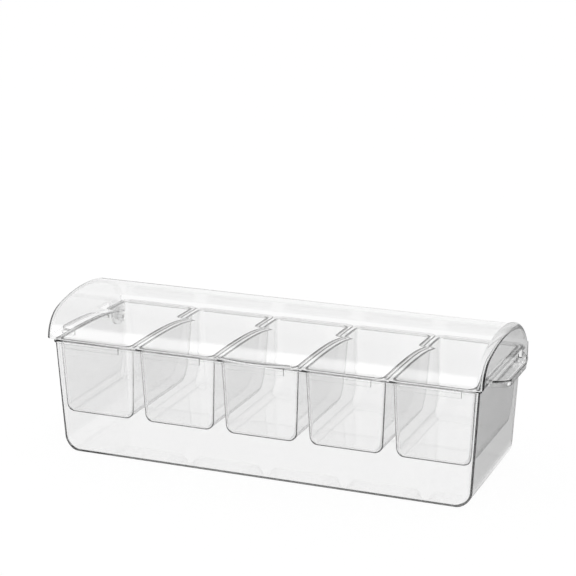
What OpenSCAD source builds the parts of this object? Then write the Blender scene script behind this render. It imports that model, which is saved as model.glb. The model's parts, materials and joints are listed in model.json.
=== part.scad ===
// Condiment caddy: a clear ice tub that carries five lift-out bins under one
// hinged dome lid. Millimetres, +Z up, -Y is the front and +X is the right end.
// The origin is the middle of the tub's underside.

/* [Tub] */
// Length of the tub at its rim, without the rim's own overhang
tub_len = 384; // [365:1:420]
// Depth of the tub at its rim, front to back, without the overhang
tub_dep = 138; // [130:1:160]
// Height of the rim's top face above the table
rim_z = 103.4; // [96:0.2:125]
// How far each wall has leaned in by the time it reaches the bottom
tub_draft = 4.6; // [2:0.2:7]
// Thickness of the tub's walls and floor
tub_wall = 2.5; // [2:0.1:3]
// Radius of the upright corners at the rim
tub_corner = 7; // [5:0.5:10]
// Radius of the big roll between the floor and each end wall
end_roll = 15; // [10:0.5:20]
// Radius of the small roll along the floor's front and back edges
long_roll = 4; // [3.5:0.5:8]

/* [Rim] */
// Thickness of the tub's rim
rim_t = 1.8; // [1.2:0.1:3]
// How far the rim stands out past the walls
rim_over = 1.3; // [0.8:0.1:1.6]

/* [Handle ledges] */
// How far each end ledge reaches out from the end wall
ledge_out = 15; // [10:0.5:25]
// Width of each ledge, front to back
ledge_w = 68; // [50:1:80]
// Radius of a ledge's outer corners
ledge_corner = 12; // [4:0.5:14]
// Thickness of the ledge plate
ledge_t = 2.2; // [1.6:0.1:3]
// Height of the finger lip that turns down along a ledge's edge
ledge_lip_h = 6; // [4:0.5:9]
// Thickness of the finger lip
ledge_lip_t = 2; // [1.5:0.1:3]

/* [Bins] */
// Thickness of a bin's walls and floor
bin_wall = 1.8; // [1.4:0.1:2.4]
// Depth of a bin below the tub's rim
bin_hang = 67.4; // [40:0.2:80]
// Gap between the rims of two neighbouring bins
bin_seam = 0.6; // [0.4:0.1:1.2]
// How far an end bin's rim rests on the tub's end wall
bin_seat = 1.7; // [1:0.1:2.4]
// How far a bin's rim stands out past its side walls
bin_rim_side = 3; // [2.8:0.1:4.5]
// Gap between a bin's front or back wall and the tub's wall at the rim
bin_gap = 1.1; // [0.8:0.1:3]
// Thickness of a bin's rim
bin_rim_t = 1.2; // [1:0.1:1.5]
// How far the front and back edges of a bin's rim stay inside the tub's rim
bin_rim_inset = 0.5; // [0.2:0.1:1]
// How far each side wall of a bin has leaned in at its bottom
bin_draft = 2.4; // [1.5:0.1:4]
// How far the front and back walls of a bin have leaned in at its bottom
bin_draft_long = 4.9; // [4.5:0.1:7]
// Radius of a bin's upright corners at its rim
bin_corner = 7; // [5:0.5:12]
// Radius of the rolls between a bin's floor and its side walls
bin_roll = 8; // [5:0.5:12]
// Radius of the crisp edge between a bin's floor and its front wall
bin_front_roll = 4; // [3:0.5:5]
// Radius of the scoop curve between a bin's floor and its back wall
bin_scoop = 24; // [16:1:36]

/* [Bin hooks] */
// Width of the hook at the front of each bin
hook_w = 52; // [30:1:60]
// Thickness of the hook
hook_t = 1.4; // [1:0.1:1.5]
// How far the hook hangs down in front of the tub's rim, from the bin rim's top
hook_drop = 6.4; // [4:0.2:10]
// Gap between the hook and the tub's rim
hook_gap = 0.4; // [0.3:0.1:0.6]

/* [Lid] */
// Height of the dome's crown above the tub's rim
lid_rise = 35.3; // [30:0.5:50]
// Thickness of the dome and its end panels
lid_wall = 2.6; // [2:0.1:3]
// How far the dome's front foot stands out past the tub's rim
lid_front_out = 2.7; // [2.2:0.1:5]
// How far the dome's back foot stands out past the tub's rim
lid_back_out = 0.8; // [0.4:0.1:3]
// Gap between the tub's rim and the inside of each end panel
lid_end_gap = 0.7; // [0.4:0.1:1.5]
// Gap between the bins' rims and the lid's lower edge
lid_foot_gap = 1.6; // [1:0.1:3]
// How much higher the lower edge is along the back, to swing past the rim
lid_back_cut = 3.3; // [3:0.1:6]
// Radius of the dome's front shoulder
shoulder_front = 29; // [20:1:36]
// Radius of the dome's back shoulder
shoulder_back = 50; // [30:1:56]
// Radius of the dome's crown
crown_r = 165; // [120:5:260]
// How far the crown's middle lies towards the front
crown_shift = 6.5; // [0:0.5:12]
// Radius of the roll between the dome and its end panels
lid_roll = 5.6; // [4:0.2:8]

/* [Thumb tab] */
// Width of the thumb tab on the lid's front edge
tab_w = 68; // [40:1:90]
// How far the tab's middle reaches forward
tab_out = 6; // [4:0.5:12]
// Thickness of the tab
tab_t = 2.4; // [1.8:0.1:4]

/* [Hinge] */
// Distance of the hinge axis in front of the tub's back face at the rim
pivot_in = 11; // [11:0.5:15]
// Distance of the hinge axis below the rim's top face
pivot_drop = 9; // [8:0.5:12]
// Radius of the lid's ears around the hinge axis
ear_r = 10.5; // [8:0.5:10.5]
// Radius of the hinge pins
pin_r = 2.5; // [1.5:0.1:3.2]
// Radial play of a pin in the lid's ear
pin_play = 0.06; // [0.03:0.01:0.1]
// Radial grip of the tub's wall on a pin
pin_grip = 0.02; // [0.01:0.01:0.05]
// Radius of a pin's head
pin_head_r = 4.5; // [4:0.1:6]
// Thickness of a pin's head
pin_head_t = 1.6; // [1:0.1:2.5]
// Radius of the boss round each pin on the tub's end wall
boss_r = 6; // [5:0.1:7]
// Gap on each side of an ear, to the boss and to the pin's head
ear_gap = 0.4; // [0.3:0.1:0.6]

/* [Hidden] */

bin_count = 5;
// Depth that a joint, plate or cut runs into its neighbour, so they share no face
bite = 1;
sliver = 0.01;

// Outer edges of the tub's rim, from the origin
rim_x = tub_len / 2 + rim_over;
rim_y = tub_dep / 2 + rim_over;

// One bin's rim, and the distance from bin to bin
bin_row = tub_len - 2 * tub_wall + 2 * bin_seat;
bin_pitch = (bin_row + bin_seam) / bin_count;
bin_rim_w = bin_pitch - bin_seam;
bin_rim_dep = 2 * (rim_y - bin_rim_inset);
bin_w = bin_rim_w - 2 * bin_rim_side;
bin_dep = tub_dep - 2 * tub_wall - 2 * bin_gap;
bin_bottom = rim_z - bin_hang;
bin_top = rim_z + bin_rim_t;

// The lid's outer faces and its section's fixed points, as [y, z]
lid_half = rim_x + lid_end_gap + lid_wall;
lid_foot = bin_top + lid_foot_gap;
front_foot = [-rim_y - lid_front_out, lid_foot];
back_foot = [rim_y + lid_back_out, lid_foot];
crown_mid = [-crown_shift, rim_z + lid_rise - crown_r];

// The hinge axis, and the places along it that the pins depend on
pivot_y = tub_dep / 2 - pivot_in;
pivot_z = rim_z - pivot_drop;
wall_x_at_pivot = tub_len / 2 - tub_draft * pivot_drop / rim_z;
pin_tip_x = wall_x_at_pivot - tub_wall + bite / 2;
boss_x = lid_half - lid_wall - ear_gap;
head_x = lid_half + ear_gap;

// Steps in each arc of the dome's section, and degrees between the rings of its rolled ends
arc_steps = 10;
roll_step = 22.5;

// Outlines

module rounded_rect(len, dep, r) {
    square([len - 2 * r, dep], center = true);
    square([len, dep - 2 * r], center = true);
    for (x = [-1, 1], y = [-1, 1])
        translate([x * (len / 2 - r), y * (dep / 2 - r)]) circle(r, $fn = 32);
}

// Half of a rounded plate that grows out of a wall at x = 0
module ledge_outline(out, half, r) {
    translate([-bite, -half]) square([out - r + bite, 2 * half]);
    translate([-bite, r - half]) square([out + bite, 2 * (half - r)]);
    for (y = [-1, 1]) translate([out - r, y * (half - r)]) circle(r, $fn = 48);
}

// A disc with a rounded edge, flat to the Z axis: r is its full radius
module roll_disc(r, edge, inset)
    rotate_extrude($fn = 32) translate([r - edge, 0]) circle(edge - inset, $fn = 32);

// Tub

// The tub's outside for inset = 0, and its cavity for inset = tub_wall
module tub_form(inset, above) {
    x = tub_len / 2 - tub_draft - end_roll;
    y = tub_dep / 2 - tub_draft - long_roll;
    hull() {
        translate([0, 0, rim_z - sliver])
            linear_extrude(sliver + above)
                rounded_rect(tub_len - 2 * inset, tub_dep - 2 * inset, tub_corner - inset);
        for (sx = [-1, 1], sy = [-1, 1])
            translate([sx * x, sy * y, end_roll])
                rotate([90, 0, 0]) roll_disc(end_roll, long_roll, inset);
    }
}

// An end ledge to lift the tub by: a plate with a lip turned down along its edge
module handle_ledge() {
    translate([tub_len / 2, 0, rim_z - ledge_t])
        linear_extrude(ledge_t) ledge_outline(ledge_out, ledge_w / 2, ledge_corner);
    translate([tub_len / 2, 0, rim_z - ledge_lip_h])
        linear_extrude(ledge_lip_h)
            difference() {
                ledge_outline(ledge_out, ledge_w / 2, ledge_corner);
                translate([-2 * bite, 0])
                    ledge_outline(ledge_out - ledge_lip_t + 2 * bite, ledge_w / 2 - ledge_lip_t,
                                  ledge_corner - ledge_lip_t);
            }
}

module hinge_boss()
    translate([wall_x_at_pivot - bite, pivot_y, pivot_z])
        rotate([0, 90, 0]) cylinder(r = boss_r, h = boss_x - wall_x_at_pivot + bite, $fn = 48);

module hinge_bore(r)
    translate([-lid_half - 2 * bite, pivot_y, pivot_z])
        rotate([0, 90, 0]) cylinder(r = r, h = 2 * lid_half + 4 * bite, $fn = 48);

module ice_tub()
    color([0.80, 0.84, 0.86, 0.45])
    difference() {
        union() {
            tub_form(0, 0);
            translate([0, 0, rim_z - rim_t])
                linear_extrude(rim_t) rounded_rect(2 * rim_x, 2 * rim_y, tub_corner + rim_over);
            for (side = [0, 1]) mirror([side, 0, 0]) {
                handle_ledge();
                hinge_boss();
            }
        }
        tub_form(tub_wall, bite);
        hinge_bore(pin_r - pin_grip);
    }

// Bins

// A bin's outside for inset = 0, and its hollow for inset = bin_wall
module bin_form(inset, above) {
    x = bin_w / 2 - bin_draft - bin_roll;
    y = bin_dep / 2 - bin_draft_long;
    hull() {
        translate([0, 0, rim_z])
            linear_extrude(bin_rim_t + above)
                rounded_rect(bin_w - 2 * inset, bin_dep - 2 * inset, bin_corner - inset);
        for (side = [-1, 1]) {
            translate([side * x, bin_front_roll - y, bin_bottom + bin_roll])
                rotate([90, 0, 0]) roll_disc(bin_roll, bin_front_roll, inset);
            translate([side * x, y - bin_scoop, bin_bottom + bin_scoop])
                rotate([0, 90, 0]) roll_disc(bin_scoop, bin_roll, inset);
        }
    }
}

// The hook reaches over the tub's rim and turns down in front of it
module bin_hook() {
    face_y = -rim_y - hook_gap - hook_t;
    translate([-hook_w / 2, face_y, rim_z])
        cube([hook_w, hook_t + hook_gap + bin_rim_inset + bite, bin_rim_t]);
    translate([-hook_w / 2, face_y, bin_top - hook_drop]) cube([hook_w, hook_t, hook_drop]);
}

module bin(place)
    color([0.86, 0.89, 0.90, 0.45])
    translate([(place - (bin_count + 1) / 2) * bin_pitch, 0, 0])
    difference() {
        union() {
            bin_form(0, 0);
            translate([0, 0, rim_z])
                linear_extrude(bin_rim_t) rounded_rect(bin_rim_w, bin_rim_dep, bin_corner);
            bin_hook();
        }
        bin_form(bin_wall, bite);
    }

// Lid

// Points on an arc, with skip of them left out at each end
function arc_points(mid, r, a0, a1, skip = 0) =
    [for (i = [skip:arc_steps - skip])
        let (a = a0 + (a1 - a0) * i / arc_steps) mid + r * [cos(a), sin(a)]];

function angle_of(v) = atan2(v[1], v[0]);

// Middle of the shoulder arc that ends on a foot point and touches the crown's arc:
// side is -1 in front, 1 behind
function shoulder_mid(foot, side, r) =
    let (gap = norm(crown_mid - foot),
         down = (crown_mid - foot) / gap,
         along = (r * r - pow(crown_r - r, 2) + gap * gap) / (2 * gap))
    foot + along * down + side * sqrt(r * r - along * along) * [down[1], -down[0]];

// Rise of a shoulder arc's end from level, where it meets the lid's lower edge or below it
function foot_angle(mid, r, below) = asin((lid_foot - below - mid[1]) / r);

// The dome's section as [y, z] points, front foot to back foot, drawn in by inset
function dome_section(inset, below) =
    let (front = shoulder_mid(front_foot, -1, shoulder_front),
         back = shoulder_mid(back_foot, 1, shoulder_back),
         front_r = shoulder_front - inset,
         back_r = shoulder_back - inset,
         front_a = angle_of(front - crown_mid),
         back_a = angle_of(back - crown_mid))
    concat(arc_points(front, front_r, 180 - foot_angle(front, front_r, below), front_a),
           arc_points(crown_mid, crown_r - inset, front_a, back_a, 1),
           arc_points(back, back_r, back_a, foot_angle(back, back_r, below)));

// A solid skinned over equal outlines, one at each place along X
module loft(places, outlines) {
    n = len(outlines[0]);
    last = len(places) - 1;
    polyhedron(
        points = [for (i = [0:last], p = outlines[i]) [places[i], p[0], p[1]]],
        faces = concat(
            [[for (j = [n - 1:-1:0]) j]],
            [for (i = [0:last - 1], j = [0:n - 1])
                let (k = (j + 1) % n)
                [i * n + j, i * n + k, (i + 1) * n + k, (i + 1) * n + j]],
            [[for (j = [0:n - 1]) last * n + j]]));
}

// The dome with rolled ends: its outside for inset = 0, and its hollow for inset = lid_wall
module dome_form(inset, below) {
    roll = lid_roll - inset;
    core = lid_half - lid_roll;
    rings = concat([for (turn = [0:roll_step:90]) [-core, turn]],
                   [for (turn = [90:roll_step:180]) [core, turn]]);
    loft([for (ring = rings) ring[0] - roll * cos(ring[1])],
         [for (ring = rings) dome_section(inset + roll * (1 - sin(ring[1])), below)]);
}

// An ear hangs from an end panel and turns on its pin, outside the tub's end wall
module lid_ear()
    translate([lid_half - lid_wall, 0, 0])
        rotate([90, 0, 90]) linear_extrude(lid_wall) {
            translate([pivot_y, pivot_z]) circle(ear_r, $fn = 64);
            translate([pivot_y - ear_r, pivot_z]) square([2 * ear_r, lid_foot + bite - pivot_z]);
        }

// What is cut from the dome's lower edge along the back, between the ears and behind them
module back_cut() {
    inner = lid_half - lid_wall;
    height = lid_back_cut + bite;
    translate([-inner, pivot_y, lid_foot - bite]) cube([2 * inner, rim_y, height]);
    translate([-lid_half - bite, pivot_y + ear_r, lid_foot - bite])
        cube([2 * (lid_half + bite), rim_y, height]);
}

// A shallow crescent to lift the lid by
module thumb_tab() {
    bow_r = (pow(tab_w / 2, 2) + pow(tab_out, 2)) / (2 * tab_out);
    translate([0, front_foot[0], lid_foot])
        linear_extrude(tab_t)
            intersection() {
                translate([0, bow_r - tab_out]) circle(bow_r, $fn = 180);
                translate([-tab_w / 2, -tab_out - bite]) square([tab_w, tab_out + 2 * bite]);
            }
}

module lid()
    color([0.88, 0.91, 0.93, 0.35])
    difference() {
        union() {
            difference() {
                dome_form(0, 0);
                dome_form(lid_wall, bite);
                back_cut();
            }
            for (side = [0, 1]) mirror([side, 0, 0]) lid_ear();
            thumb_tab();
        }
        hinge_bore(pin_r + pin_play);
    }

// Hinge pins

// A headed pin that goes in from outside: side is 1 at the right end, -1 at the left
module hinge_pin(side)
    color([0.90, 0.92, 0.93, 0.6])
    mirror([side < 0 ? 1 : 0, 0, 0])
    translate([0, pivot_y, pivot_z]) rotate([0, 90, 0]) {
        translate([0, 0, pin_tip_x]) cylinder(r = pin_r, h = head_x - pin_tip_x + bite, $fn = 48);
        translate([0, 0, head_x]) cylinder(r = pin_head_r, h = pin_head_t, $fn = 48);
    }

ice_tub();
bin(1);  // bin_1
bin(2);  // bin_2
bin(3);  // bin_3
bin(4);  // bin_4
bin(5);  // bin_5
lid();
hinge_pin(-1);  // hinge_pin_left
hinge_pin(1);  // hinge_pin_right
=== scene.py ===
# %% [markdown]
# # A clear condiment caddy
# The object is a long ice tub with five lift-out bins and one dome lid, all moulded in clear
# plastic. Clear plastic shows both of its faces, so every piece here is a closed shell of the real
# wall thickness: a thin sheet with no inside would neither bend light nor show its double edges.
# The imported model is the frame. It says where each piece is, and nothing here moves it.

# %% Load the frame
import json
import math

import bpy
import numpy as np
from mathutils import Matrix, Vector


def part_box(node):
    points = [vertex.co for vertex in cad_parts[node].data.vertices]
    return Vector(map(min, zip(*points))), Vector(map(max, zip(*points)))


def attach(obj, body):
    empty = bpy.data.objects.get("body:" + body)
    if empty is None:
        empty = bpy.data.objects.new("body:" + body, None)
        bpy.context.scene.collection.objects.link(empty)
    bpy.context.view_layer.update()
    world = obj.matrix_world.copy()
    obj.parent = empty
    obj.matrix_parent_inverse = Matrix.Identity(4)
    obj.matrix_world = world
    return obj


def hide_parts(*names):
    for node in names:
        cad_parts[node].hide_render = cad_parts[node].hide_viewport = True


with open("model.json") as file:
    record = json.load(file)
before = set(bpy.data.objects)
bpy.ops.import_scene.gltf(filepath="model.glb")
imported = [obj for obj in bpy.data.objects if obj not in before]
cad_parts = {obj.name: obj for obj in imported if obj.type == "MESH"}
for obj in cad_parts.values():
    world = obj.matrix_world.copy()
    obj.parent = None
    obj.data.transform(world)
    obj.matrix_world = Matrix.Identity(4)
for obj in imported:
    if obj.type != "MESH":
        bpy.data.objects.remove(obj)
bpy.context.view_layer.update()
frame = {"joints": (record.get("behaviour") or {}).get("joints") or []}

MM = 0.001

# %% [markdown]
# ## The photograph's camera
# The picture was taken from the right, a little above, with a long lens. The place, the turn and the
# lens come from matching the tub's and the rim's edges. The shift frames the caddy low in the
# picture without tilting the camera, which would make the uprights lean.

# %% Make the camera
PHOTO_SIDE = 576
TURN, RISE, ROLL = math.radians(22.47), math.radians(17.57), math.radians(-0.30)
DISTANCE = 1.6006
LOOK_AT = Vector((-0.01335, 0.0, 0.1036))
LENS_IN_PIXELS = 1841.3
AXIS_PIXEL = (272.35, 340.5)

camera_data = bpy.data.cameras.new("camera")
camera_data.sensor_width = 36.0
camera_data.lens = camera_data.sensor_width * LENS_IN_PIXELS / PHOTO_SIDE
camera_data.shift_x = (PHOTO_SIDE / 2 - AXIS_PIXEL[0]) / PHOTO_SIDE
camera_data.shift_y = (AXIS_PIXEL[1] - PHOTO_SIDE / 2) / PHOTO_SIDE
camera_data.clip_start, camera_data.clip_end = 0.05, 60.0
camera = bpy.data.objects.new("camera", camera_data)
bpy.context.scene.collection.objects.link(camera)
towards = Vector((math.sin(TURN) * math.cos(RISE), -math.cos(TURN) * math.cos(RISE), math.sin(RISE)))
camera.location = LOOK_AT + DISTANCE * towards
aim = towards.to_track_quat("Z", "Y").to_matrix() @ Matrix.Rotation(ROLL, 3, "Z")
camera.rotation_euler = aim.to_euler()
bpy.context.scene.camera = camera
print("camera at", [round(v, 3) for v in camera.location], "lens", round(camera_data.lens, 1))

# %% [markdown]
# ## Rings and fillets
# A moulded tub or bin is a stack of rounded rectangles. If every ring has the same number of points,
# neighbouring rings join with plain quads, and the shell closes by walking up the outside, over the
# rim and down the inside. A subdivided cage would be the usual way, but it rounds every edge alike,
# and these mouldings have a different radius on almost every edge. A short extra step on each side
# of a round keeps its shading out of the flat wall beside it, which matters when light is bent there.

# %% Ring helpers, in millimetres
EASE, EASE_SHARE = 0.3, 0.4


def arc(centre, radius, start, stop, steps):
    """Points on an arc in a plane, angles in degrees, both ends included."""
    angles = np.radians(np.linspace(start, stop, steps + 1))
    return [(centre[0] + radius * math.cos(a), centre[1] + radius * math.sin(a)) for a in angles]


def ring(left, right, front, back, radii, height, steps=8):
    """A level rounded rectangle, anticlockwise from above. radii are its front and back corners'."""
    near, far = radii
    corners = ((right - near, front + near, near, -90), (right - far, back - far, far, 0),
               (left + far, back - far, far, 90), (left + near, front + near, near, 180))
    points = []
    for x, y, radius, start in corners:
        corner = arc((x, y), radius, start, start + 90, steps)
        ends = [math.radians(angle) for angle in (start, start + 90)]
        into, out = (Vector((-math.sin(a), math.cos(a))) for a in ends)
        corner = [Vector(corner[0]) - EASE * into] + corner + [Vector(corner[-1]) + EASE * out]
        points += [(px, py, height) for px, py in corner]
    return points


def filleted(points, radii, steps=4):
    """An open path through the points, with each inner corner rounded by its own radius."""
    spots = [Vector(p) for p in points]
    reaches = [0.0]
    for before, corner, after, radius in zip(spots, spots[1:], spots[2:], radii):
        reaches.append(radius / math.tan((before - corner).angle(after - corner) / 2))
    reaches.append(0.0)
    eases = [min(EASE, EASE_SHARE * ((b - a).length - reach_a - reach_b))
             for a, b, reach_a, reach_b in zip(spots, spots[1:], reaches, reaches[1:])]
    path = [points[0]]
    for i, radius in enumerate(radii, 1):
        into, out = ((end - spots[i]).normalized() for end in (spots[i - 1], spots[i + 1]))
        first, last = spots[i] + into * reaches[i], spots[i] + out * reaches[i]
        middle = spots[i] + (into + out).normalized() * math.hypot(radius, reaches[i])
        a0 = math.atan2(first.y - middle.y, first.x - middle.x)
        turn = math.remainder(math.atan2(last.y - middle.y, last.x - middle.x) - a0, math.tau)
        path.append(tuple(first + into * eases[i - 1]))
        path += arc(middle, radius, math.degrees(a0), math.degrees(a0 + turn), steps)
        path.append(tuple(last + out * eases[i]))
    return path + [points[-1]]


# %% [markdown]
# ## Skins, turned pieces and bars
# One function joins a list of rings with quads and closes both ends with a flat face. The pins, the
# bosses and the bores are rings swept round the hinge axis, and the hooks and ears are bars along X,
# so they all come from that one function too. What the caddy has at both ends is made once, on the
# right, and mirrored. A mirror turns a mesh inside out, so its normals are turned back.

# %% Skin helpers, in millimetres
hinge = next(joint for joint in frame["joints"] if joint["name"] == "lid_hinge")
PIVOT = (hinge["pos_m"][1] / MM, hinge["pos_m"][2] / MM)


def skin(name, rings):
    """A mesh object through a list of rings given in millimetres, capped at both ends."""
    count, last = len(rings[0]), len(rings) - 1
    places = [Vector(p) * MM for one in rings for p in one]
    faces = []
    for i in range(last):
        for j in range(count):
            k, up = (j + 1) % count, i + 1
            faces.append((i * count + j, i * count + k, up * count + k, up * count + j))
    faces.append(tuple(range(count - 1, -1, -1)))
    faces.append(tuple(range(last * count, (last + 1) * count)))
    mesh = bpy.data.meshes.new(name)
    mesh.from_pydata(places, [], faces)
    piece = bpy.data.objects.new(name, mesh)
    bpy.context.scene.collection.objects.link(piece)
    return piece


def turned(name, path, steps=48):
    """A turned piece on the lid's hinge axis, from a path of (along X, radius) points."""
    turns = np.linspace(0, math.tau, steps, endpoint=False)
    return skin(name, [[(along, PIVOT[0] + radius * math.cos(t), PIVOT[1] + radius * math.sin(t))
                        for t in turns] for along, radius in path])


def prism(name, outline, start, stop):
    """A bar along X with an outline of (y, z) points, anticlockwise seen from the right."""
    stations = (start, start + EASE, stop - EASE, stop)
    return skin(name, [[(x, y, z) for y, z in outline] for x in stations])


def mirrored(piece):
    """A copy of the piece at the other end of the caddy."""
    twin = piece.copy()
    twin.data = piece.data.copy()
    twin.data.transform(Matrix.Scale(-1, 4, (1, 0, 0)))
    twin.data.flip_normals()
    bpy.context.scene.collection.objects.link(twin)
    return twin


# %% [markdown]
# ## Joining, smoothing and marking the bends
# Ledges, hooks, ears and the thumb tab are solids of their own until an exact boolean makes them one
# closed mesh with their shell: clear solids that only overlap would show a wall between them. The
# shading is smooth except at creases, and weighted by the size of the faces, so that a broad flat
# wall keeps its true direction. Each corner of each face then keeps how tightly the surface bends
# there, which sets where the plastic's base colour gets painted dark lines.

# %% Joining and shading helpers
CREASE = math.radians(35)
NO_LENGTH = 1e-6


def bake_modifiers(piece):
    """Make the shape that the piece's modifiers give its own mesh."""
    shown = piece.evaluated_get(bpy.context.evaluated_depsgraph_get())
    solid = bpy.data.meshes.new_from_object(shown)
    piece.modifiers.clear()
    piece.data = solid


def combine(piece, others, how):
    """The piece with others joined on or cut away, as one closed mesh."""
    for other in others:
        step = piece.modifiers.new(how, "BOOLEAN")
        step.operation, step.object, step.solver = how, other, "EXACT"
    bake_modifiers(piece)
    for other in others:
        bpy.data.objects.remove(other)
    return piece


def mark_bends(mesh):
    """Store at each corner of each face how tightly the surface bends there: one over the radius in mm."""
    faces = [(face.normal.copy(), face.center.copy()) for face in mesh.polygons]
    sides = {}
    for number, face in enumerate(mesh.polygons):
        for key in face.edge_keys:
            sides.setdefault(key, []).append(number)
    bends = {}
    for (a, b), pair in sides.items():
        if len(pair) == 2:
            (n0, c0), (n1, c1) = faces[pair[0]], faces[pair[1]]
            along = (mesh.vertices[b].co - mesh.vertices[a].co).normalized()
            across = (c1 - c0) - along * (c1 - c0).dot(along)
            turn = n0.angle(n1, 0.0)
            if turn < CREASE and across.length > NO_LENGTH:
                bends[a, b] = turn / (across.length / MM)
    values = [0.0] * len(mesh.loops)
    for face in mesh.polygons:
        loops = list(face.loop_indices)
        for here, there in zip(loops, loops[1:] + loops[:1]):
            key = tuple(sorted((mesh.loops[here].vertex_index, mesh.loops[there].vertex_index)))
            for loop in (here, there):
                values[loop] = max(values[loop], bends.get(key, 0.0))
    mesh.attributes.new("bend", "FLOAT", "CORNER").data.foreach_set("value", values)


def polish(piece):
    """Smooth shading with crisp creases, where broad flat faces keep their true direction."""
    piece.data.shade_smooth()
    piece.data.set_sharp_from_angle(angle=CREASE)
    even = piece.modifiers.new("even", "WEIGHTED_NORMAL")
    even.keep_sharp, even.weight = True, 100
    bake_modifiers(piece)
    mark_bends(piece.data)
    print(piece.name, "has", len(piece.data.polygons), "faces")


# %% [markdown]
# ## Drafted walls with a rolled foot
# A moulding leans in towards its floor, so that it leaves the mould, and then rolls under. Seen in
# section each wall is a straight line that touches the roll's circle. Working the touching point
# out, and not guessing it, keeps the wall free of a kink that would flash in the light.

# %% Wall helpers
SAME_HEIGHT = 0.004


def wall(half, top, centre, radius):
    """How far a drafted, rolled wall stands out at any height, and the height where its roll ends."""
    dx, dz = half - centre[0], top - centre[1]
    angle = math.atan2(dz, dx) - math.acos(radius / math.hypot(dx, dz))
    touch = (centre[0] + radius * math.cos(angle), centre[1] + radius * math.sin(angle))

    def reach(height):
        if height >= touch[1]:
            return touch[0] + (half - touch[0]) * (height - touch[1]) / (top - touch[1])
        return centre[0] + math.sqrt(max(0.0, radius ** 2 - (height - centre[1]) ** 2))

    return reach, touch[1]


def levels(floor, top, rolls, steps=14):
    """Heights for the rings of a wall: close together through every roll, then two at the top."""
    heights = {floor}
    for radius, touch in rolls:
        stop = math.acos(max(-1.0, (floor + radius - touch) / radius))
        angles = np.linspace(0, math.degrees(stop), steps)
        heights |= {floor + radius * (1 - math.cos(math.radians(a))) for a in angles}
        heights.add(touch + EASE)
    heights |= {top - EASE, top}
    tidy = sorted(heights)
    return [tidy[0]] + [b for a, b in zip(tidy, tidy[1:]) if b - a > SAME_HEIGHT]


# %% [markdown]
# ## The ice tub
# One deep moulding holds the ice. Its ends roll under with a big radius and its long sides with a
# small one. The rim is a narrow shelf, and at each end it grows into a ledge with a turned-down lip,
# which is the hand hold. A small boss on each end wall carries the lid's pin. The shell is one skin
# of rings, and the ledges and bosses are joined on as solids, as a mould would fill them in one shot.

# %% Tub sizes
low, high = (Vector(corner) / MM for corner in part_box("ice_tub"))
LEDGE_OUT, LEDGE_WIDE = 15.0, 68.0
LEDGE_CORNER, LEDGE_THICK = 12.0, 2.2
LIP_DEEP, LIP_THICK = 6.0, 2.0
RIM, TUB_X, TUB_Y = high.z, high.x - LEDGE_OUT, 69.0
TUB_WALL, TUB_DRAFT, TUB_CORNER = 2.5, 4.6, 7.0
END_ROLL, LONG_ROLL = 15.0, 4.0
RIM_OVER, RIM_THICK = 1.3, 1.8
SEAT_GAP = 0.04
SMALLEST_CORNER = 0.2
print("tub over its ledges", [round(v, 1) for v in high - low], "mm")

# %% Where the tub's walls meet its rim, as depths below the rim
OUTSIDE_STOP, TUB_INSIDE_STOP = 1.2, 1.0
RIM_START, TUB_RIM_END = 1.0, 0.9


def tub_rings(inset):
    """The rings of the tub's outside, or of its inside for an inset of one wall, floor first."""
    roll_x, roll_y = TUB_X - TUB_DRAFT - END_ROLL, TUB_Y - TUB_DRAFT - LONG_ROLL
    reach_x, touch_x = wall(TUB_X - inset, RIM, (roll_x, END_ROLL), END_ROLL - inset)
    reach_y, touch_y = wall(TUB_Y - inset, RIM, (roll_y, LONG_ROLL), LONG_ROLL - inset)
    top = RIM - TUB_INSIDE_STOP if inset else RIM - RIM_THICK - OUTSIDE_STOP
    rings = []
    for height in levels(inset, top, ((END_ROLL - inset, touch_x), (LONG_ROLL - inset, touch_y))):
        x, y = reach_x(height), reach_y(height)
        upright = LONG_ROLL - inset + (TUB_CORNER - LONG_ROLL) * height / RIM
        corner = max(SMALLEST_CORNER, min(upright, y - roll_y, x - roll_x))
        rings.append(ring(-x, x, -y, y, (corner, corner), height))
    return rings


# %% Make the tub's shell
RIM_ROUNDS = (0.3, 0.5, 0.5, 0.5)
lean = TUB_DRAFT / RIM
rim_path = filleted(
    [(-(RIM_THICK + RIM_START) * lean, RIM - RIM_THICK - RIM_START), (-RIM_THICK * lean, RIM - RIM_THICK),
     (RIM_OVER, RIM - RIM_THICK), (RIM_OVER, RIM), (-TUB_WALL, RIM), (-TUB_WALL - lean, RIM - TUB_RIM_END)],
    RIM_ROUNDS)
rim_rings = [ring(-TUB_X - out, TUB_X + out, -TUB_Y - out, TUB_Y + out,
                  (TUB_CORNER + out, TUB_CORNER + out), height) for out, height in rim_path]
tub = skin("clear_ice_tub", tub_rings(0) + rim_rings + tub_rings(TUB_WALL)[::-1])

# %% Add the ledges and the bosses
LEDGE_ROUNDS = (0.6, 0.7, 0.7, 0.7)
LEDGE_ROOT, LEDGE_STEPS = 5.0, 16
WALL_SINK, ROOT_STEP = 2.0, 1.6


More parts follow.
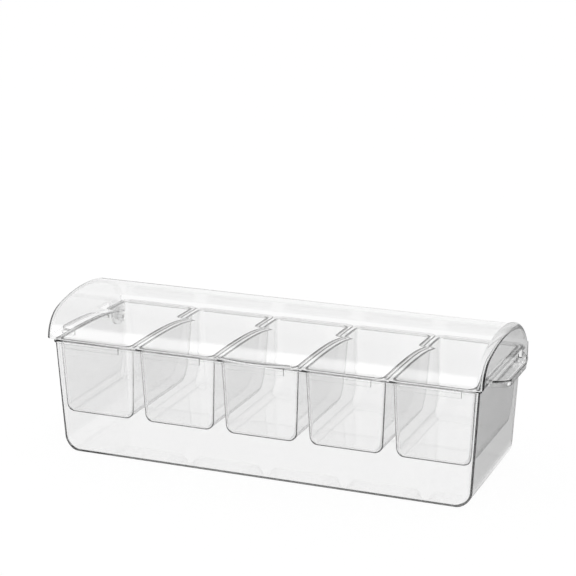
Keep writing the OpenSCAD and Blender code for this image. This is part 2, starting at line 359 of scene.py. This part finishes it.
def ledge():
    """The right-hand ledge: a plate with rounded corners and a lip round its edge, open below."""
    top = RIM - SEAT_GAP
    path = filleted([(-LEDGE_ROOT, RIM - LEDGE_THICK), (-LIP_THICK, RIM - LEDGE_THICK),
                     (-LIP_THICK, RIM - LIP_DEEP), (0, RIM - LIP_DEEP), (0, top), (-LEDGE_ROOT, top)],
                    LEDGE_ROUNDS)
    far, half = TUB_X + LEDGE_OUT - LEDGE_CORNER, LEDGE_WIDE / 2 - LEDGE_CORNER
    rings = []
    for out, height in path:
        near = TUB_X - WALL_SINK + ROOT_STEP * min(1.0, -out / LIP_THICK)
        side = half + LEDGE_CORNER + out
        outline = arc((far, -half), LEDGE_CORNER + out, -90, 0, LEDGE_STEPS)
        outline += arc((far, half), LEDGE_CORNER + out, 0, 90, LEDGE_STEPS)
        rings.append([(x, y, height) for x, y in [(near, -side)] + outline + [(near, side)]])
    return skin("ledge", rings)


LID_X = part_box("lid")[1][0] / MM
LID_WALL, EAR_GAP = 2.6, 0.4
BOSS_R, BOSS_EDGE, TUB_BORE_R = 6.0, 0.4, 2.48
boss_face = LID_X - LID_WALL - EAR_GAP
boss_path = [(TUB_X - WALL_SINK, BOSS_R), (boss_face - BOSS_EDGE, BOSS_R), (boss_face, BOSS_R - BOSS_EDGE)]
extras = []
for part in (ledge(), turned("boss", boss_path)):
    extras += [part, mirrored(part)]
tub = combine(tub, extras, "UNION")
tub = combine(tub, [turned("bore", [(-LID_X, TUB_BORE_R), (LID_X, TUB_BORE_R)])], "DIFFERENCE")
polish(tub)

# %% [markdown]
# ## The five bins
# The bins are one moulding made five times. The front wall meets the floor at a crisp edge, and the
# back sweeps down in one long scoop, so that the last slice of lemon can be picked out. Their rims
# lie on the tub's rim and nearly touch each other, and a hook at the front turns down over the rim.
# One mesh is made in the middle and moved along for each bin, because the five are exact copies.

# %% Bin sizes
bin_low, bin_high = (Vector(corner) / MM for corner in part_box("bin_3"))
BIN_FLOOR, BIN_TOP = bin_low.z, bin_high.z
BIN_RIM_X, BIN_RIM_Y = bin_high.x, bin_high.y
BIN_WALL, BIN_X, BIN_Y = 1.8, 35.0, 65.4
BIN_DRAFT_X, BIN_DRAFT_Y = 2.4, 4.9
SIDE_ROLL, FRONT_ROLL, SCOOP, BIN_CORNER = 8.0, 4.0, 24.0, 7.0
BIN_INSIDE_STOP, BIN_RIM_END = 0.8, 0.7


def bin_rings(inset):
    """The rings of a bin's outside, or of its hollow for an inset of one wall, floor first."""
    roll_x = BIN_X - BIN_DRAFT_X - SIDE_ROLL
    roll_front = BIN_Y - BIN_DRAFT_Y - FRONT_ROLL
    roll_back = BIN_Y - BIN_DRAFT_Y - SCOOP
    side_r, front_r, back_r = SIDE_ROLL - inset, FRONT_ROLL - inset, SCOOP - inset
    side, side_touch = wall(BIN_X - inset, RIM, (roll_x, BIN_FLOOR + SIDE_ROLL), side_r)
    front, front_touch = wall(BIN_Y - inset, RIM, (roll_front, BIN_FLOOR + FRONT_ROLL), front_r)
    back, back_touch = wall(BIN_Y - inset, RIM, (roll_back, BIN_FLOOR + SCOOP), back_r)
    rolls = ((side_r, side_touch), (front_r, front_touch), (back_r, back_touch))
    top = BIN_TOP - BIN_INSIDE_STOP if inset else RIM - OUTSIDE_STOP
    rings = []
    for height in levels(BIN_FLOOR + inset, top, rolls):
        x, y0, y1 = side(height), front(height), back(height)
        up = (height - BIN_FLOOR) / (RIM - BIN_FLOOR)
        near = FRONT_ROLL + (BIN_CORNER - FRONT_ROLL) * up - inset
        far = SIDE_ROLL + (BIN_CORNER - SIDE_ROLL) * up - inset
        near = max(SMALLEST_CORNER, min(near, y0 - roll_front, x - roll_x))
        far = max(SMALLEST_CORNER, min(far, y1 - roll_back, x - roll_x))
        rings.append(ring(-x, x, -y0, y1, (near, far), height))
    return rings


# %% Make one bin's shell
BIN_RIM_ROUNDS = (0.4, 0.5, 0.5, 0.5)
under = RIM + SEAT_GAP
over = BIN_RIM_Y - BIN_Y
bin_rim_path = filleted([(0, under - RIM_START), (0, under), (over, under), (over, BIN_TOP),
                         (-BIN_WALL, BIN_TOP), (-BIN_WALL, BIN_TOP - BIN_RIM_END)], BIN_RIM_ROUNDS)
bin_rim_rings = []
for out, height in bin_rim_path:
    x = BIN_X + (out if out < 0 else out * (BIN_RIM_X - BIN_X) / over)
    corner = BIN_CORNER + min(out, 0)
    bin_rim_rings.append(ring(-x, x, -BIN_Y - out, BIN_Y + out, (corner, corner), height))
pattern = skin("bin", bin_rings(0) + bin_rim_rings + bin_rings(BIN_WALL)[::-1])

# %% Add its hook, whose root is a hair thinner than the rim so that no two faces coincide
HOOK_HALF, HOOK_THICK, HOOK_DROP, HOOK_ROOT = 26.0, 1.4, 6.4, 4.0
HOOK_ROUNDS = (0.3, 0.5, 0.5, 1.2)
face = bin_low.y
root_low, root_high = under + 0.05, BIN_TOP - 0.02
hook_path = filleted([(face + HOOK_ROOT, root_low), (face + HOOK_THICK, root_low),
                      (face + HOOK_THICK, BIN_TOP - HOOK_DROP), (face, BIN_TOP - HOOK_DROP),
                      (face, root_high), (face + HOOK_ROOT, root_high)], HOOK_ROUNDS)
pattern = combine(pattern, [prism("hook", hook_path[::-1], -HOOK_HALF, HOOK_HALF)], "UNION")
polish(pattern)

# %% Copy it to the five places
bins = []
for number in range(1, 6):
    left, right = (corner[0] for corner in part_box(f"bin_{number}"))
    piece = bpy.data.objects.new(f"clear_bin_{number}", pattern.data.copy())
    piece.data.transform(Matrix.Translation(((left + right) / 2, 0, 0)))
    bpy.context.scene.collection.objects.link(piece)
    bins.append(piece)
bpy.data.objects.remove(pattern)

# %% [markdown]
# ## The dome lid
# The lid's section is three arcs that touch: a tight front shoulder, a flat crown and a wide back
# shoulder. Where the front shoulder's arc turns into the crown's, the bend in the plastic changes at
# once, and so does what is seen through it: the dividers look broken there, as in the photograph.
# That look needs true arcs and a true inner face, so the dome is an outer and an inner skin of
# sections, drawn in at both ends for the rolled edge. The back edge is cut higher, to pass the rim.

# %% Lid sizes
FOOT, BACK_CUT = 106.2, 3.3
FRONT_FOOT, BACK_FOOT = Vector((-73.0, FOOT)), Vector((71.1, FOOT))
CROWN_Y, CROWN_TOP = -6.5, 138.7
CROWN_R, FRONT_R, BACK_R, LID_ROLL = 165.0, 29.0, 50.0, 5.6
CROWN_MID = Vector((CROWN_Y, CROWN_TOP - CROWN_R))
SHOULDER_STEPS, CROWN_STEPS = 40, 56
EAR_R = 10.5


def shoulder(foot, side, radius):
    """Middle of the arc that ends on the foot and touches the crown: side is -1 in front, 1 behind."""
    down = (CROWN_MID - foot).normalized()
    gap = (CROWN_MID - foot).length
    along = (radius ** 2 - (CROWN_R - radius) ** 2 + gap ** 2) / (2 * gap)
    across = math.sqrt(radius ** 2 - along ** 2)
    return foot + along * down + side * across * Vector((down.y, -down.x))


FRONT_MID, BACK_MID = shoulder(FRONT_FOOT, -1, FRONT_R), shoulder(BACK_FOOT, 1, BACK_R)


def section(inset, below):
    """The lid's section as (y, z) points from the back foot over the crown to the front foot."""
    to_front, to_back = FRONT_MID - CROWN_MID, BACK_MID - CROWN_MID
    front_a, back_a = (math.degrees(math.atan2(v.y, v.x)) for v in (to_front, to_back))
    ends = [math.degrees(math.asin((FOOT - below - mid.y) / (radius - inset)))
            for mid, radius in ((FRONT_MID, FRONT_R), (BACK_MID, BACK_R))]
    points = arc(BACK_MID, BACK_R - inset, ends[1], back_a, SHOULDER_STEPS)
    points += arc(CROWN_MID, CROWN_R - inset, back_a, front_a, CROWN_STEPS)[1:-1]
    return points + arc(FRONT_MID, FRONT_R - inset, front_a, 180 - ends[0], SHOULDER_STEPS)


# %% Make the dome
ROLL_TURN, ROLL_EASE = 6, 0.6
HOLLOW_BELOW, PAST_END, PAST_BACK = 2.0, 3, 90.0


def dome(name, inset, below):
    """The dome as a solid: its outside, or the hollow for an inset of one wall."""
    roll, core = LID_ROLL - inset, LID_X - LID_ROLL
    stations = [(-core - roll * math.cos(math.radians(t)), t) for t in range(0, 91, ROLL_TURN)]
    stations += [(x + ROLL_EASE, 90) for x, t in stations[-1:]]
    stations += [(-x, t) for x, t in stations[::-1]]
    insets = [inset + roll * (1 - math.sin(math.radians(t))) for x, t in stations]
    return skin(name, [[(x, y, z) for y, z in section(further, below)]
                       for (x, t), further in zip(stations, insets)])


lid = dome("clear_lid", 0, 0)
lid = combine(lid, [dome("hollow", LID_WALL, HOLLOW_BELOW)], "DIFFERENCE")
back_edge = PIVOT[0] + EAR_R
cut_low, cut_high = FOOT - HOLLOW_BELOW, FOOT + BACK_CUT
cuts = []
for start, half in ((PIVOT[0], LID_X - LID_WALL), (back_edge, LID_X + PAST_END)):
    clear = [(start, cut_low), (PAST_BACK, cut_low), (PAST_BACK, cut_high), (start, cut_high)]
    cuts.append(prism("cut", clear, -half, half))
lid = combine(lid, cuts, "DIFFERENCE")

# %% [markdown]
# ## Ears and thumb tab
# Two ears hang from the lid's ends, round below the pins and square above, and the thumb tab bows out
# from the middle of its front edge. Each is a solid that reaches a little way into the dome, because
# joining solids that only touch can leave a slit. The bores are cut last, through both ears at once.

# %% Make an ear and the thumb tab
EAR_STEPS, EAR_INTO_DOME, EAR_SHY, EAR_BORE_R = 40, 1, 0.01, 2.56
TAB_HALF, TAB_OUT, TAB_THICK, TAB_ROUND, TAB_STEPS = 34.0, 6.0, 2.4, 1.15, 48
TAB_ROOT, TAB_SINK, TAB_LIFT = 2.0, 1.2, 0.01

ear_top = FOOT + EAR_INTO_DOME
ear_path = arc(PIVOT, EAR_R, -180, 0, EAR_STEPS) + [(back_edge, ear_top), (PIVOT[0] - EAR_R, ear_top)]
ear = prism("ear", ear_path, LID_X - LID_WALL, LID_X - EAR_SHY)

bow = (TAB_HALF ** 2 + TAB_OUT ** 2) / (2 * TAB_OUT)
bow_mid = (0.0, FRONT_FOOT.x + bow - TAB_OUT)
spread = math.degrees(math.asin(TAB_HALF / bow))
inner = FRONT_FOOT.x + TAB_SINK
tab_path = filleted([(-TAB_ROOT, FOOT + TAB_LIFT), (0, FOOT + TAB_LIFT), (0, FOOT + TAB_THICK),
                     (-TAB_ROOT, FOOT + TAB_THICK)], (TAB_ROUND, TAB_ROUND))
tab_rings = []
for out, height in tab_path:
    front = arc(bow_mid, bow + out, -90 - spread, -90 + spread, TAB_STEPS)
    tab_rings.append([(x, y, height) for x, y in [(-TAB_HALF, inner)] + front + [(TAB_HALF, inner)]])
tab = skin("tab", tab_rings)

# %% Join them to the lid and bore the ears
lid = combine(lid, [ear, mirrored(ear), tab], "UNION")
past = LID_X + PAST_END
lid = combine(lid, [turned("bore", [(-past, EAR_BORE_R), (past, EAR_BORE_R)])], "DIFFERENCE")
polish(lid)

# %% [markdown]
# ## The hinge pins
# Each pin goes in from outside, through the ear and into the tub's end wall. It is a turned shape,
# so its outline is drawn once and swept round the hinge axis, with a rounded head that can't snag.

# %% Make the pins
pin_low, pin_high = (corner[0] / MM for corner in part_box("hinge_pin_right"))
PIN_R, PIN_TIP = 2.5, 0.4
HEAD_R, HEAD_THICK, HEAD_FLAT_R = 4.5, 1.6, 1.0
HEAD_ROUNDS = (0.3, 0.7)
shank_end = pin_high - HEAD_THICK
head = filleted([(shank_end, PIN_R), (shank_end, HEAD_R), (pin_high, HEAD_R), (pin_high, HEAD_FLAT_R)],
                HEAD_ROUNDS)
pin_path = [(pin_low, PIN_R - PIN_TIP), (pin_low + PIN_TIP, PIN_R), (shank_end - EASE, PIN_R)] + head
right_pin = turned("right_hinge_pin", pin_path)
left_pin = mirrored(right_pin)
left_pin.name = "left_hinge_pin"
for pin in (right_pin, left_pin):
    polish(pin)

# %% [markdown]
# ## Writing shader maths
# The painted shade in a plastic's colour is a sum of a few masks. Written as nodes by hand it would
# fill a page, so a small class wraps a socket and lets plain Python arithmetic add the Math nodes. A
# second class holds the tree and adds every other node, with its settings first and then the values or
# links of its sockets.

# %% Shader maths


class Link:
    """A socket that takes part in Python arithmetic by adding Math nodes."""

    def __init__(self, nodes, socket):
        self.nodes, self.socket = nodes, socket

    def math(self, operation, left, right):
        return self.nodes.add("ShaderNodeMath", {"operation": operation}, {0: left, 1: right})["Value"]

    def __add__(self, other):
        return self.math("ADD", self, other)

    def __sub__(self, other):
        return self.math("SUBTRACT", self, other)

    def __rsub__(self, other):
        return self.math("SUBTRACT", other, self)

    def __mul__(self, other):
        return self.math("MULTIPLY", self, other)

    def __pow__(self, other):
        return self.math("POWER", self, other)

    def __abs__(self):
        return self.math("ABSOLUTE", self, 0.0)

    __radd__, __rmul__ = __add__, __mul__


class Nodes:
    """The node tree of a material or world, filled one node at a time."""

    def __init__(self, owner):
        owner.use_nodes = True
        self.tree = owner.node_tree
        self.tree.nodes.clear()

    def add(self, kind, settings=None, sockets=None):
        """A node of a type, its settings, and the values or links of its sockets."""
        node = self.tree.nodes.new(kind)
        for name, value in (settings or {}).items():
            setattr(node, name, value)
        by_identifier = {socket.identifier: socket for socket in node.inputs}
        for name, value in (sockets or {}).items():
            known = isinstance(name, int) or name in node.inputs
            socket = node.inputs[name] if known else by_identifier[name]
            if isinstance(value, Link):
                self.tree.links.new(value.socket, socket)
            else:
                socket.default_value = value
        return {out.name: Link(self, out) for out in node.outputs if out.enabled}

    def ramp(self, value, low, high, start, stop):
        """A smooth change from start to stop while the value goes from low to high."""
        return self.add("ShaderNodeMapRange", {"interpolation_type": "SMOOTHSTEP"},
                        {0: value, 1: low, 2: high, 3: start, 4: stop})["Result"]

    def rays(self):
        """Masks for three kinds of ray: from the camera, come through plastic, and mirrored by a face."""
        path = self.add("ShaderNodeLightPath")
        through = path["Is Transmission Ray"]
        return path["Is Camera Ray"], through, path["Is Glossy Ray"] * (1.0 - through)


def grey(level):
    """A grey colour, as red, green, blue and alpha."""
    return (level, level, level, 1.0)


# %% [markdown]
# ## Clear plastic
# Moulded styrene bends light like glass of index 1.49 and is nearly colourless face on. What gives it
# away is its edges. Light that has run a long way inside a wall comes out grey, and the volume does
# that. The rest is painted shade in the base colour. A wall met at a slant is painted darker the more
# it slants, except on level faces, where the lid's top fades into the white. The tight rounds of rims
# and hooks get the darkest painted lines: the bend marks tell them apart from flat faces. Each of
# these depends on how a face is met, so it holds from every side. A shadow ray passes straight
# through, because clear plastic throws only a faint shadow. A slow, shallow waviness and a fine grain
# take the perfect flatness off the faces.

# %% What all the clear plastic shares
REFRACTION = 1.49
LOSS_PER_METRE = 8.0
SHADOW_CLEARNESS = 0.93
# Painted shade: its grey, its growth with the slant, and the spread and bends of its dark lines
SHADE_GREY = 0.05
SLANT_SHADE_POWER = 2.5
EDGE_SPREAD = 2.2
RIM_FROM, RIM_TO, RIM_SHADE = 0.8, 1.6, 0.6
WAVE_SCALE, WAVE_DETAIL, WAVE_STRENGTH, WAVE_HEIGHT = 14.0, 2.0, 0.02, 0.0004
GRAIN_SCALE, GRAIN_DETAIL, ROUGHEST = 900.0, 3.0, 0.012


def clear_plastic(name, square, slant_shade, loosest, thinness):
    """Clear moulded plastic, given its tint face on, how much painted shade flat walls get at a slant,
    the bend from which an edge gets a painted dark line, and how fine that painted line is."""
    material = bpy.data.materials.new(name)
    nodes = Nodes(material)
    place = nodes.add("ShaderNodeTexCoord")["Object"]
    slow = nodes.add("ShaderNodeTexNoise", None,
                     {"Vector": place, "Scale": WAVE_SCALE, "Detail": WAVE_DETAIL})["Fac"]
    fine = nodes.add("ShaderNodeTexNoise", None,
                     {"Vector": place, "Scale": GRAIN_SCALE, "Detail": GRAIN_DETAIL})["Fac"]
    facing = nodes.add("ShaderNodeLayerWeight", None, {"Blend": 0.5})["Facing"]
    normal = nodes.add("ShaderNodeNewGeometry")["Normal"]
    level = abs(nodes.add("ShaderNodeSeparateXYZ", None, {"Vector": normal})["Z"])
    bend = nodes.add("ShaderNodeAttribute", {"attribute_name": "bend"})["Fac"]
    # Painted shade: dark lines on tight rounds and rims, and upright walls darker at a slant
    edge = nodes.ramp(bend, loosest, EDGE_SPREAD * loosest, 0.0, 1.0) * facing ** thinness
    rim = nodes.ramp(bend, RIM_FROM, RIM_TO, 0.0, RIM_SHADE) * facing
    flat = facing ** SLANT_SHADE_POWER * (1.0 - level)
    # The plastic's own grey face on, darkened towards the shade grey by that painted shade
    tint = nodes.add("ShaderNodeMix", {"data_type": "RGBA"},
                     {"Factor": flat * slant_shade + edge + rim,
                      "A_Color": grey(square), "B_Color": grey(SHADE_GREY)})["Result"]
    bump = nodes.add("ShaderNodeBump", None,
                     {"Strength": WAVE_STRENGTH, "Distance": WAVE_HEIGHT, "Height": slow})["Normal"]
    body = nodes.add("ShaderNodeBsdfPrincipled", None,
                     {"Base Color": tint, "Roughness": fine * ROUGHEST, "IOR": REFRACTION,
                      "Transmission Weight": 1.0, "Normal": bump})["BSDF"]
    through = nodes.add("ShaderNodeBsdfTransparent", None, {"Color": grey(SHADOW_CLEARNESS)})["BSDF"]
    shadow = nodes.add("ShaderNodeLightPath")["Is Shadow Ray"]
    mix = nodes.add("ShaderNodeMixShader", None, {"Fac": shadow, 1: body, 2: through})["Shader"]
    inside = nodes.add("ShaderNodeVolumeAbsorption", None,
                       {"Color": grey(0.0), "Density": LOSS_PER_METRE})["Volume"]
    nodes.add("ShaderNodeOutputMaterial", None, {"Surface": mix, "Volume": inside})
    print("finish", name)
    return material


# %% [markdown]
# ## One plastic in four finishes
# All the pieces are the same plastic, but a deep tub, thin bins, a domed lid and small pins do not
# show it alike, so each kind has its own amounts. Each piece then gets its finish, is hung on the
# body that it rides on, and the imported solid that it stands for is hidden.

# %% Dress the pieces
# Each plastic's own grey face on, then how much painted shade it gets at slants and on edges
finishes = {
    "tub_plastic": clear_plastic("clear_tub_plastic", square=0.99, slant_shade=0.62, loosest=0.24, thinness=2.0),
    "bin_plastic": clear_plastic("clear_bin_plastic", square=1.0, slant_shade=0.72, loosest=0.05, thinness=3.0),
    "lid_plastic": clear_plastic("clear_lid_plastic", square=1.0, slant_shade=0.62, loosest=0.05, thinness=2.0),
    "pin_plastic": clear_plastic("clear_pin_plastic", square=0.97, slant_shade=0.2, loosest=0.05, thinness=2.0),
}
wearing = [(tub, "tub", "ice_tub", "tub_plastic"), (lid, "dome_lid", "lid", "lid_plastic"),
           (left_pin, "tub", "hinge_pin_left", "pin_plastic"),
           (right_pin, "tub", "hinge_pin_right", "pin_plastic")]
wearing += [(piece, f"bin_{n}", f"bin_{n}", "bin_plastic") for n, piece in enumerate(bins, 1)]
for piece, body, node, finish in wearing:
    piece.data.materials.clear()
    piece.data.materials.append(finishes[finish])
    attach(piece, body)
    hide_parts(node)

# %% [markdown]
# ## The floor
# The photograph is a cut-out on pure white. The floor gives the camera, and every ray that has come
# through plastic, nearly that white. Mirror rays see it less bright in front of the tub, or clear
# walls would vanish. To the left and right it gives them nothing, as if two dark cards lay there,
# which is how a studio keeps a clear end wall grey. The right card reaches on behind the caddy, and
# the left one ends there, so that the lid's back edge fades to white. A ray that is turned round
# inside plastic counts as a mirror ray too, so those that have passed through are taken out.

# %% Make the floor
FLOOR_HALF, FLOOR_LOW, FLOOR_HIGH = 9000, -20.0, -0.02
FLOOR_WHITE, FLOOR_PAINT = 0.93, 0.16
CARD_INNER, CARD_OUTER = 0.190, 0.200
LEFT_CARD_FADES, LEFT_CARD_ENDS = 0.28, 0.36
FRONT_ENDS, BACK_STARTS, FRONT_SHARE = -0.05, 0.10, 0.45

corners = ((-FLOOR_HALF, -FLOOR_HALF), (FLOOR_HALF, -FLOOR_HALF),
           (FLOOR_HALF, FLOOR_HALF), (-FLOOR_HALF, FLOOR_HALF))
floor = skin("floor", [[(x, y, z) for x, y in corners] for z in (FLOOR_LOW, FLOOR_HIGH)])
paint = bpy.data.materials.new("white_floor")
nodes = Nodes(paint)
from_camera, passed, mirrored_back = nodes.rays()
place = nodes.add("ShaderNodeTexCoord")["Object"]
spot = nodes.add("ShaderNodeSeparateXYZ", None, {"Vector": place})
ended = nodes.ramp(spot["Y"], LEFT_CARD_FADES, LEFT_CARD_ENDS, 0.0, 1.0)
left_card = nodes.ramp(spot["X"] + ended, -CARD_OUTER, -CARD_INNER, 0.0, 1.0)
right_card = nodes.ramp(spot["X"], CARD_INNER, CARD_OUTER, 1.0, 0.0)
behind = nodes.ramp(spot["Y"], FRONT_ENDS, BACK_STARTS, FRONT_SHARE, 1.0)
light = (from_camera + passed) * FLOOR_WHITE + mirrored_back * (left_card * right_card) * behind
glow = nodes.add("ShaderNodeEmission", None, {"Color": light, "Strength": 1.0})["Emission"]
matt = nodes.add("ShaderNodeBsdfDiffuse", None, {"Color": grey(FLOOR_PAINT)})["BSDF"]
both = nodes.add("ShaderNodeAddShader", None, {0: glow, 1: matt})["Shader"]
nodes.add("ShaderNodeOutputMaterial", None, {"Surface": both})
floor.data.materials.append(paint)
print("floor", 2 * FLOOR_HALF * MM, "m wide")

# %% [markdown]
# ## The room
# The world is white to the camera and grey to the light that shades the object. Rays that have come
# through plastic see it white near the ground and dimmer overhead, which gives the floors and the
# dome their pale greys. Mirror rays see it brighter at the back, and a soft glow low in front on the
# left stands for a soft box and draws the white band along the lid's front shoulder.

# %% Make the room
ROOM_GREY, FULL_WHITE = 0.45, 0.55
CEILING_STARTS, CEILING_FULL, CEILING_DIM = 0.35, 0.75, 0.3
BACK_STARTS_AT, BACK_FULL, BACK_LIGHT = 0.0, 0.6, 0.55
SOFT_BOX = Vector((-0.47, -0.84, 0.26)).normalized()
BOX_EDGE, BOX_CORE, BOX_LIGHT = 0.91, 0.995, 4.5

bpy.context.scene.view_settings.view_transform = "Standard"
world = bpy.data.worlds.new("white_room")
bpy.context.scene.world = world
nodes = Nodes(world)
from_camera, passed, mirrored_back = nodes.rays()
way = nodes.add("ShaderNodeTexCoord")["Generated"]
parts = nodes.add("ShaderNodeSeparateXYZ", None, {"Vector": way})
ceiling = nodes.ramp(parts["Z"], CEILING_STARTS, CEILING_FULL, 0.0, CEILING_DIM)
back = nodes.ramp(parts["Y"], BACK_STARTS_AT, BACK_FULL, 0.0, BACK_LIGHT)
towards_box = nodes.add("ShaderNodeVectorMath", {"operation": "DOT_PRODUCT"},
                        {0: way, 1: SOFT_BOX})["Value"]
box_glow = nodes.ramp(towards_box, BOX_EDGE, BOX_CORE, 0.0, BOX_LIGHT)
white = (ROOM_GREY + from_camera * FULL_WHITE + passed * (FULL_WHITE - ceiling)
         + mirrored_back * (back + box_glow))
room = nodes.add("ShaderNodeBackground", None, {"Color": white, "Strength": 1.0})
nodes.add("ShaderNodeOutputWorld", None, {"Surface": room["Background"]})
print("room grey", ROOM_GREY, "and white to the camera")

# %% [markdown]
# ## The lamp
# A clear object is lit by what it mirrors and bends, so the world does nearly all the work. One weak
# area lamp at the left only gives the left sides a little more light and the floor a faint shadow.

# %% Make the lamp
LAMP_PLACE, LAMP_TARGET = Vector((-1.6, -0.8, 0.8)), Vector((0, 0, 0.05))
LAMP_WIDE, LAMP_TALL, LAMP_WATTS = 0.8, 1.2, 3.0

lamp_data = bpy.data.lights.new("left_fill", "AREA")
lamp_data.shape = "RECTANGLE"
lamp_data.size, lamp_data.size_y = LAMP_WIDE, LAMP_TALL
lamp_data.energy = LAMP_WATTS
lamp = bpy.data.objects.new("left_fill", lamp_data)
lamp.location = LAMP_PLACE
lamp.rotation_euler = (LAMP_PLACE - LAMP_TARGET).to_track_quat("Z", "Y").to_euler()
bpy.context.scene.collection.objects.link(lamp)
print("lamp", LAMP_WATTS, "W")

# %% [markdown]
# ## Light through many walls
# A ray from the camera can meet over twenty faces on its way through the lid, the tub and the row of
# bins. Inside a corner it is also thrown to and fro between two faces, and each such turn counts as a
# mirror turn. If the renderer gives up early on either kind, those places turn black, so all of them
# are given enough turns here.

# %% Let light pass
ENOUGH_TURNS = 48
cycles = bpy.context.scene.cycles
cycles.max_bounces = ENOUGH_TURNS
cycles.transmission_bounces = ENOUGH_TURNS
cycles.glossy_bounces = ENOUGH_TURNS
cycles.transparent_max_bounces = ENOUGH_TURNS
